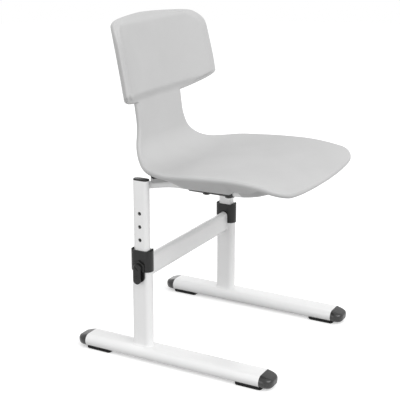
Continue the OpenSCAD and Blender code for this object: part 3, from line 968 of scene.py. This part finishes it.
class NodeTool:
    """A Geometry Nodes tree with named inputs, run once and turned into a mesh."""

    def __init__(self, name: str, sizes: dict[str, float]) -> None:
        """Starts the tree.

        Args:
            name: The tree's name.
            sizes: Name and value of each input; lengths are millimetres.
        """
        self.name = name
        self.sizes = sizes
        self.tree = bpy.data.node_groups.new(name, "GeometryNodeTree")
        face = self.tree.interface
        for way in ("INPUT", "OUTPUT"):
            face.new_socket(name="Geometry", in_out=way, socket_type="NodeSocketGeometry")
        for label in sizes:
            face.new_socket(name=label, in_out="INPUT", socket_type="NodeSocketFloat")
        self.inputs = self.tree.nodes.new("NodeGroupInput").outputs

    def add(self, kind: str, *args: dict | None, **values: object) -> Node:
        """Adds a geometry node to the tree; the arguments are those of add_node."""
        return add_node(self.tree, f"GeometryNode{kind}", *args, **values)

    def math(self, operation: str, *terms: Source | float) -> Node:
        """Adds a sum, product or other step between values."""
        return reckon(self.tree, operation, *terms)

    def length(self, label: str) -> Node:
        """One of the named inputs in metres."""
        return self.math("MULTIPLY", self.inputs[label], MM)

    def run(self, body: Body, paths: Piece, shape: Source, finish: Finish) -> Piece:
        """Ends the tree, evaluates it and makes the result a piece.

        Args:
            body: The body that the piece rides on.
            paths: The object whose mesh the tree starts from; it becomes the piece.
            shape: The node or socket with the finished geometry.
            finish: The piece's finish.

        Returns:
            The piece, a plain mesh.
        """
        real = self.add("RealizeInstances", links={"Geometry": shape})
        smooth = self.add("SetShadeSmooth", links={"Geometry": real})
        coated = self.add("SetMaterial", links={"Geometry": smooth}, Material=finish.material())
        add_node(self.tree, "NodeGroupOutput", links={"Geometry": coated})
        maker = paths.modifiers.new(self.name, "NODES")
        maker.node_group = self.tree
        for item in self.tree.interface.items_tree:
            if item.name in self.sizes:
                maker[item.identifier] = float(self.sizes[item.name])
        settle(paths)
        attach(paths, body.value)
        finish.dress(paths)
        return paths


def loops_piece(name: str, loops: Sequence[Array], closed: Sequence[bool]) -> Piece:
    """Makes a mesh of bare edges along one or more paths.

    Args:
        name: The object's name.
        loops: Points of each path in millimetres.
        closed: Whether each path joins its own start.

    Returns:
        The object.
    """
    verts: list[Sequence[float]] = []
    edges: list[tuple[int, int]] = []
    for loop, ring in zip(loops, closed):
        start, count = len(verts), len(loop)
        verts.extend((loop * MM).tolist())
        edges.extend((start + k, start + k + 1) for k in range(count - 1))
        if ring:
            edges.append((start + count - 1, start))
    return mesh_piece(name, verts, [], edges)


def oval_path(half_x: float, half_y: float, count: int = 96) -> Array:
    """Points round a flat oval, long in Y, from its middle.

    Args:
        half_x: Half of its width.
        half_y: Half of its length.
        count: Number of points.

    Returns:
        The points as rows of X and Y.
    """
    turn = np.linspace(0, 2 * math.pi, count, endpoint=False)
    flat = half_y - half_x
    return np.stack(
        [half_x * np.cos(turn), half_x * np.sin(turn) + flat * np.sign(np.sin(turn))],
        axis=-1,
    )


def skin_faces(count: int, size: int) -> list[tuple[int, ...]]:
    """Lists the quads between closed rows of points.

    Args:
        count: Number of rows.
        size: Number of points in a row.

    Returns:
        The faces, by point number.
    """
    return [
        (i + j, i + (j + 1) % size, i + size + (j + 1) % size, i + size + j)
        for i in range(0, (count - 1) * size, size)
        for j in range(size)
    ]


def rows_piece(name: str, rows: Array) -> Piece:
    """Skins closed rows of points, with a pole at either end.

    Args:
        name: The object's name.
        rows: Array of rows, points and coordinates in millimetres.

    Returns:
        The object.
    """
    count, size = rows.shape[:2]
    verts = np.concatenate([rows.reshape(-1, 3), rows[[0, -1]].mean(axis=1)]) * MM
    faces = skin_faces(count, size)
    pole, last = count * size, (count - 1) * size
    for j in range(size):
        k = (j + 1) % size
        faces.append((pole, k, j))
        faces.append((pole + 1, last + j, last + k))
    piece = mesh_piece(name, verts.tolist(), faces)
    form = bmesh.new()
    form.from_mesh(piece.data)
    bmesh.ops.recalc_face_normals(form, faces=form.faces)
    form.to_mesh(piece.data)
    form.free()
    return piece


@dataclass
class FootEnds:
    """The moulded cap in each end of the floor tubes, and the glide under it.

    Attributes:
        cap_len: How far a cap's nose stands out of its tube.
        side_r: Radius of the nose's corners, seen from above.
        fall: Angle by which its top falls, in degrees.
        groove_from: Height of the wave above which the plug has a groove.
    """

    foot_front: float = 297.0
    foot_rear: float = 140.0
    foot_w: float = 57.0
    foot_h: float = 28.0
    foot_z: float = 18.0
    wall: float = 1.6
    cap_len: float = 27.0
    side_r: float = 22.0
    top_r: float = 6.0
    low_r: float = 9.0
    fall: float = 15.0
    plug_len: float = 24.0
    plug_wall: float = 2.6
    plug_gap: float = 0.1
    plug_mouth: float = 1.0
    grooves: int = 3
    groove: float = 0.8
    groove_from: float = 0.6
    nose_rows: int = 28
    plug_rows: int = 17
    cap_sharp: float = 44.0
    glide_len: float = 64.0
    glide_w: float = 49.0
    glide_corner: float = 7.0
    glide_lead: float = 5.0
    glide_lift: float = 0.3
    glide_t: float = 4.0
    glide_chamfer: float = 1.5
    hug_gap: float = 0.02
    glide_sharp: float = 40.0
    peg_d: float = 8.0
    peg_len: float = 5.0

    def build(self) -> list[Piece]:
        """Builds the four caps and the four glides, each from one form.

        Returns:
            The caps and the glides.
        """
        ends = [(name, side, end) for name, side in SIDES.items() for end in End]
        reach = {End.FRONT: -self.foot_front, End.REAR: self.foot_rear}
        lead = {End.FRONT: self.glide_lead, End.REAR: 0.0}
        caps = self._set_out(
            "foot_caps", self._cap_form(), CAP_PE,
            [(side, reach[end], self.foot_z) for _, side, end in ends],
            [math.pi if end is End.FRONT else 0.0 for *_, end in ends],
        )
        half_len = self.glide_len / 2
        glides = self._set_out(
            "floor_glides", self._glide_form(), RUBBER,
            [(side, reach[e] - e.value * half_len - lead[e], 0.0) for _, side, e in ends],
            [0.0] * len(ends),
        )
        for piece, kind in ((caps, "cap"), (glides, "pad")):
            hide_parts(*(f"{name}_{end.name.lower()}_{kind}" for name, _, end in ends))
        return [caps, glides]

    @staticmethod
    def _set_out(
        name: str, form: Piece, finish: Finish, places: list[tuple], turns: list[float]
    ) -> Piece:
        """Puts a copy of a form at each place and makes them one piece.

        Args:
            name: The piece's name.
            form: The form; it is taken out afterwards.
            finish: The piece's finish.
            places: Side, distance from the uprights and height of each copy.
            turns: Turn of each copy about the vertical, in radians.

        Returns:
            The piece.
        """
        spots = np.array([(side * TRACK / 2, UPRIGHT_Y + y, z) for side, y, z in places])
        points = mesh_piece(name, spots * MM, [])
        points.data.attributes.new("turn", "FLOAT", "POINT").data.foreach_set("value", turns)
        tool = NodeTool(name, {"Scale": 1.0})
        source = tool.add("ObjectInfo", Object=form)
        turn = tool.add("InputNamedAttribute", {"data_type": "FLOAT"}, Name="turn")
        spin = add_node(tool.tree, "ShaderNodeCombineXYZ", links={"Z": turn})
        copies = tool.add("InstanceOnPoints", links={
            "Points": tool.inputs["Geometry"],
            "Instance": source.outputs["Geometry"],
            "Rotation": spin,
            "Scale": tool.inputs["Scale"],
        })
        piece = tool.run(Body.BASE, points, copies, finish)
        drop_piece(form)
        return piece

    def _section(self, half_w: float, up: float, down: float, y: float) -> Array:
        """A flat-oval section of the cap, at a distance from the tube's end."""
        ring = oval_path(self.foot_h / 2, self.foot_w / 2)[:, ::-1]
        x = ring[:, 0] * half_w / (self.foot_w / 2)
        z = ring[:, 1] / (self.foot_h / 2)
        return np.column_stack([x, np.full(len(x), y), z * np.where(z > 0, up, down)])

    def _cap_form(self) -> Piece:
        """Lofts one cap along Y: nose outwards, hollow plug with three grooves inwards."""
        half_w, half_h = self.foot_w / 2, self.foot_h / 2
        rows = []
        for share in np.linspace(0, 1, self.nose_rows):
            y = self.cap_len * math.cos(share * math.pi / 2)
            side, top, low = (
                r - r * round_share(self.cap_len - y, r)
                for r in (self.side_r, self.top_r, self.low_r)
            )
            drop = y * math.tan(math.radians(self.fall))
            rows.append(self._section(half_w - side, half_h - top - drop, half_h - low, y))
        gap = self.wall + self.plug_gap
        plug_w, plug_h = half_w - gap, half_h - gap
        plug = [(0.0, 0.0)]
        for share in np.linspace(0.1, 0.9, self.plug_rows):
            wave = math.sin(share * 2 * math.pi * self.grooves)
            plug.append((share, self.groove if wave > self.groove_from else 0.0))
        mouth = self.plug_mouth / self.plug_len
        plug += [(1.0, 0.0), (1.0, self.plug_wall), (mouth, self.plug_wall)]
        for share, dip in plug:
            up = plug_h - dip
            rows.append(self._section(plug_w - dip, up, up, -self.plug_len * share))
        cap = rows_piece("cap_form", np.array(rows))
        cap.data.set_sharp_from_angle(angle=math.radians(self.cap_sharp))
        return cap

    def _glide_form(self) -> Piece:
        """Builds one glide: a flat foot whose top hugs the tube's round underside."""
        flat, half_h = (self.foot_w - self.foot_h) / 2, self.foot_h / 2
        corner, cut = self.glide_corner, self.glide_chamfer
        turn = np.linspace(math.pi / 2, 0, 9)
        reach = self.glide_len / 2 - corner + corner * np.sin(turn)
        inset = corner * (1 - np.cos(turn))
        rows = []
        for y, narrow in [*zip(-reach, inset), *zip(reach[::-1], inset[::-1])]:
            wide = self.glide_w / 2 - narrow
            x = np.linspace(-wide, wide, 25)
            over = np.maximum(0.0, np.abs(x) - flat)
            top = self.foot_z + self.hug_gap - np.sqrt(half_h**2 - over**2)
            low = narrow * self.glide_lift
            sides = [(wide, low + cut), (wide - cut, low), (cut - wide, low)]
            outline = [(-wide, low + cut), *zip(x, top), *sides]
            rows.append([(x, y, z) for x, z in outline])
        body = rows_piece("glide_body", np.array(rows))
        form = bmesh.new()
        form.from_mesh(body.data)
        drop_piece(body)
        bmesh.ops.create_cone(
            form, cap_ends=True, segments=32, depth=self.peg_len * MM,
            radius1=self.peg_d / 2 * MM, radius2=self.peg_d / 2 * MM,
            matrix=Matrix.Translation((0, 0, (self.glide_t + self.peg_len / 2) * MM)),
        )
        glide = form_piece("glide_form", form)
        glide.data.set_sharp_from_angle(angle=math.radians(self.glide_sharp))
        return glide


@dataclass
class LockHoles:
    """The row of pierced lock holes in each inner tube, with dark rims: bare steel where the
    powder coat stops, and painted shade that widens each hole's dark mouth.

    Attributes:
        face_x: Distance of the tubes' outer faces from the chair's middle.
        top_z: Height of the highest hole.
        rim_t: How far the rims stand proud.
    """

    face_x: float = 207.5
    top_z: float = 339.0
    count: int = 6
    pitch: float = 30.0
    hole_d: float = 7.0
    rim_w: float = 0.6
    rim_t: float = 0.12

    def build(self) -> Piece:
        """Sets a rim round every hole of both rows.

        Returns:
            The rims, as one piece.
        """
        spots = np.array([(s * self.face_x, UPRIGHT_Y, self.top_z) for s in SIDES.values()])
        points = mesh_piece("hole_rims", spots * MM, [])
        tool = NodeTool("hole_rims", {
            "Hole diameter": self.hole_d,
            "Pitch": self.pitch,
            "Rim width": self.rim_w,
            "Rim height": self.rim_t,
        })
        down = tool.math("MULTIPLY", tool.length("Pitch"), -1.0)
        step = add_node(tool.tree, "ShaderNodeCombineXYZ", links={"Z": down})
        row = tool.add("MeshLine", {"mode": "OFFSET"}, {"Offset": step}, Count=self.count)
        width, height = tool.length("Rim width"), tool.length("Rim height")
        middle_d = tool.math("ADD", tool.length("Hole diameter"), width)
        radius = tool.math("MULTIPLY", middle_d, 0.5)
        circle = tool.add("CurvePrimitiveCircle", links={"Radius": radius}, Resolution=40)
        depth = tool.math("MULTIPLY", height, 2.0)
        edge = tool.add("CurvePrimitiveQuadrilateral", links={"Width": width, "Height": depth})
        ring = tool.add("CurveToMesh", links={"Curve": circle, "Profile Curve": edge})
        upright = (0.0, math.pi / 2, 0.0)
        rims = tool.add(
            "InstanceOnPoints", links={"Points": row, "Instance": ring}, Rotation=upright
        )
        places = tool.inputs["Geometry"]
        both = tool.add("InstanceOnPoints", links={"Points": places, "Instance": rims})
        # The rims are dark partly as bare steel and partly as painted shade of the holes'
        # interiors.
        return tool.run(Body.SEAT, points, both, BARE_EDGE_AND_HOLE_SHADE)


@dataclass
class WeldBeads:
    """Fillet welds under the powder coat, laid in fine ripples.

    Attributes:
        ripple: Length of one ripple.
        inset_share: Share of the radius by which the bead's middle stands off.
        bead_step: Distance between the bead's sections.
    """

    foot_top: float = 32.0
    upright_t: float = 25.0
    upright_w: float = 48.0
    bar_t: float = 20.0
    bar_h: float = 50.0
    bar_z: float = 211.0
    collar_bottom: float = 208.5
    inner_t: float = 19.0
    inner_w: float = 38.0
    rail_d: float = 16.0
    rail_z: float = 399.0
    arm_root_y: float = 5.65
    arm_angle: float = 45.0
    bead_r: float = 2.0
    ripple: float = 1.6
    ripple_h: float = 0.35
    inset_share: float = 0.2
    bead_step: float = 0.4
    settle_steps: int = 30

    @property
    def inset(self) -> float:
        """How far the bead's middle stands off the welded faces."""
        return self.bead_r * self.inset_share

    def build(self) -> list[Piece]:
        """Lays the beads of the base and of the seat frame.

        Returns:
            One piece for each of the two bodies.
        """
        base = [path(side) for side in (-1, 1) for path in (self._foot_path, self._bar_path)]
        seat = [self._arm_path(side) for side in (-1, 1)]
        return [
            self._lay("frame_welds", Body.BASE, base, [True, False] * 2),
            self._lay("arm_welds", Body.SEAT, seat, [True] * 2),
        ]

    def _foot_path(self, side: int) -> Array:
        """Path round an upright where it stands on its foot tube."""
        path = oval_path(self.upright_t / 2 + self.inset, self.upright_w / 2 + self.inset)
        place = np.array([side * TRACK / 2, UPRIGHT_Y])
        return np.column_stack([path + place, np.full(len(path), self.foot_top + self.inset)])

    def _bar_path(self, side: int) -> Array:
        """Path under the crossbar's end, up to the collar on both sides.

        Args:
            side: -1 for the right, 1 for the left.

        Returns:
            The points in millimetres.
        """
        ring = oval_path(self.bar_t / 2 + self.inset, self.bar_h / 2 + self.inset, 180)
        half = len(ring) // 2
        low = np.roll(ring, -half, axis=0)[: half + 1] + (UPRIGHT_Y, self.bar_z)
        low = low[low[:, 1] < self.collar_bottom - self.bead_r]
        x = side * (TRACK / 2 - self.upright_t / 2 - self.inset)
        return np.column_stack([np.full(len(low), x), low])

    def _arm_path(self, side: int) -> Array:
        """Path where the bent seat tube's arm meets the flat-oval inner tube.

        Args:
            side: -1 for the right, 1 for the left.

        Returns:
            The points in millimetres.
        """
        r, half_t = self.rail_d / 2 + self.inset, self.inner_t / 2
        flat = (self.inner_w - self.inner_t) / 2
        turn = np.linspace(0, 2 * math.pi, 96, endpoint=False)
        slant = math.radians(self.arm_angle)
        root = r * np.cos(turn) / math.cos(slant) - self.arm_root_y
        reach = np.full(len(turn), half_t)
        for _ in range(self.settle_steps):
            y = root + (half_t - reach) * math.tan(slant)
            over = np.maximum(0.0, np.abs(y) - flat)
            reach = np.sqrt(np.maximum(0.0, half_t**2 - over**2))
        path = np.column_stack([TRACK / 2 - reach, y, r * np.sin(turn)])
        return path * (side, 1, 1) + (0, UPRIGHT_Y, self.rail_z)

    def _lay(self, name: str, body: Body, loops: list[Array], closed: list[bool]) -> Piece:
        """Runs the bead's tree along the paths.

        Args:
            name: The piece's name.
            body: The body that it rides on.
            loops: The paths.
            closed: Whether each path is a ring.

        Returns:
            The piece.
        """
        tool = NodeTool(name, {
            "Bead radius": self.bead_r,
            "Ripple": self.ripple,
            "Ripple height": self.ripple_h,
        })
        radius = tool.length("Bead radius")
        curve = tool.add("MeshToCurve", links={"Mesh": tool.inputs["Geometry"]})
        even = tool.add(
            "ResampleCurve", {"mode": "LENGTH"}, {"Curve": curve}, Length=self.bead_step * MM
        )
        profile = tool.add("CurvePrimitiveCircle", links={"Radius": radius}, Resolution=10)
        along = tool.add("SplineParameter").outputs["Length"]
        share = tool.math("FRACT", tool.math("DIVIDE", along, tool.length("Ripple")))
        depth = tool.math("DIVIDE", tool.length("Ripple height"), radius)
        swell = tool.math("SUBTRACT", 1.0, tool.math("MULTIPLY", share, depth))
        links = {"Curve": even, "Profile Curve": profile, "Scale": swell}
        bead = tool.add("CurveToMesh", links=links, Fill_Caps=True)
        return tool.run(body, loops_piece(name, loops, closed), bead, POWDER_COAT)


@dataclass
class Studio:
    """The photograph's camera, a pale floor and soft light.

    Attributes:
        eye: The camera's place in metres.
        look: The direction in which it looks.
        far: Distance to which the camera sees.
        paper: Brightness of the floor's colour, as the camera sees it.
        bounce: Brightness of the floor's colour for the light that it throws back.
        glow: Light that the floor adds for the camera.
        aim: The point at which the lamps are aimed.
    """

    eye: tuple[float, float, float] = (-1.988745, -1.043619, 1.005843)
    look: tuple[float, float, float] = (0.8381, 0.4626, -0.2890)
    lens_mm: float = 92.71
    world_strength: float = 0.78
    paper: float = 0.86
    bounce: float = 0.36
    glow: float = 0.42
    sensor_mm: float = 36.0
    far: float = 50.0
    floor_r: float = 6.0
    aim: tuple[float, float, float] = (0.0, 0.0, 0.4)

    def camera(self) -> None:
        """Sets the camera at the photograph's place and angle."""
        data = bpy.data.cameras.new("camera")
        data.lens, data.sensor_width, data.clip_end = self.lens_mm, self.sensor_mm, self.far
        cam = put("camera", data)
        cam.location, cam.rotation_euler = self.eye, self._facing(self.look)
        bpy.context.scene.camera = cam

    @staticmethod
    def _facing(way: Sequence[float]) -> Euler:
        """Rotation of a camera or lamp that faces a way."""
        return Vector(way).to_track_quat("-Z", "Y").to_euler()

    @staticmethod
    def _by_ray(tree: Tree, output: str, kinds: Sequence[str], seen: Node, rest: Node) -> None:
        """Ends a tree with one shader for some kinds of ray and another for the rest.

        Args:
            tree: The tree.
            output: What the tree is for, as in the name of its output node.
            kinds: The kinds of ray that meet the first shader.
            seen: The first shader.
            rest: The shader that all other rays meet.
        """
        rays = add_node(tree, "ShaderNodeLightPath").outputs
        share = rays[f"Is {kinds[0]} Ray"]
        for kind in kinds[1:]:
            share = reckon(tree, "MAXIMUM", share, rays[f"Is {kind} Ray"])
        both = add_node(tree, "ShaderNodeMixShader", links={0: share, 1: rest, 2: seen})
        add_node(tree, f"ShaderNodeOutput{output}", links={"Surface": both})

    @staticmethod
    def _shader(tree: Tree, kind: str, grey: float = 1.0, **values: float) -> Node:
        """Adds a shader of one grey colour."""
        return add_node(tree, f"ShaderNode{kind}", Color=(grey, grey, grey, 1.0), **values)

    def world(self) -> None:
        """Lights the scene from all sides; what the camera sees of it is white."""
        world = bpy.data.worlds.new("studio")
        tree = clear_tree(world)
        white = self._shader(tree, "Background", Strength=1.0)
        light = self._shader(tree, "Background", Strength=self.world_strength)
        self._by_ray(tree, "World", ("Camera", "Transmission", "Glossy"), white, light)
        bpy.context.scene.world = world

    def floor(self) -> Piece:
        """Lays a wide pale floor that stays white to the camera and keeps the shadow.

        Returns:
            The floor's object, marked as stage.
        """
        steps = 64
        turns = [2 * math.pi * k / steps for k in range(steps)]
        ring = [(self.floor_r * math.cos(t), self.floor_r * math.sin(t), 0.0) for t in turns]
        floor = mesh_piece("floor", ring, [tuple(range(steps))], smooth=False)
        mat = bpy.data.materials.new("studio_paper_white")
        tree = clear_tree(mat)
        paper = self._shader(tree, "BsdfDiffuse", self.paper)
        bounce = self._shader(tree, "BsdfDiffuse", self.bounce)
        glow = self._shader(tree, "Emission", Strength=self.glow)
        lift = add_node(tree, "ShaderNodeAddShader", links={0: paper, 1: glow})
        self._by_ray(tree, "Material", ("Camera", "Glossy"), lift, bounce)
        floor.data.materials.append(mat)
        return floor

    def lamps(self) -> None:
        """Hangs large soft lamps round the chair, the key lamp at the camera's left."""
        for name, place, size, power in (
            ("key", (-0.6, -2.6, 2.3), 2.4, 46.0),
            ("side", (-3.0, 0.3, 0.9), 1.8, 12.0),
            ("top", (0.2, -0.2, 3.2), 2.8, 4.0),
            ("back", (2.6, 1.4, 0.4), 1.6, 4.0),
        ):
            data = bpy.data.lights.new(name, "AREA")
            data.shape, data.size, data.energy = "DISK", size, power
            lamp = put(name, data)
            lamp.location = place
            lamp.rotation_euler = self._facing(Vector(self.aim) - Vector(place))

    def build(self) -> None:
        """Sets camera, world, floor and lamps, and the plain view transform."""
        self.camera()
        self.world()
        self.floor()
        self.lamps()
        bpy.context.scene.view_settings.view_transform = "Standard"


def main() -> None:
    """Builds the chair's looks in order and reports each piece."""
    logging.basicConfig(level=logging.INFO, format="%(name)s: %(message)s")
    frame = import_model()
    Studio().build()
    LOG.info("%d solids dressed", CarriedNodes().dress(frame))
    shell = SeatShell().build()
    LOG.info("%s: %d faces", shell.name, len(shell.data.polygons))
    pieces = SoftenedSolids().build(frame) + FootEnds().build() + WeldBeads().build()
    for piece in [*pieces, LockHoles().build()]:
        LOG.info("%s: %d faces", piece.name, len(piece.data.polygons))


if __name__ == "__main__":
    main()
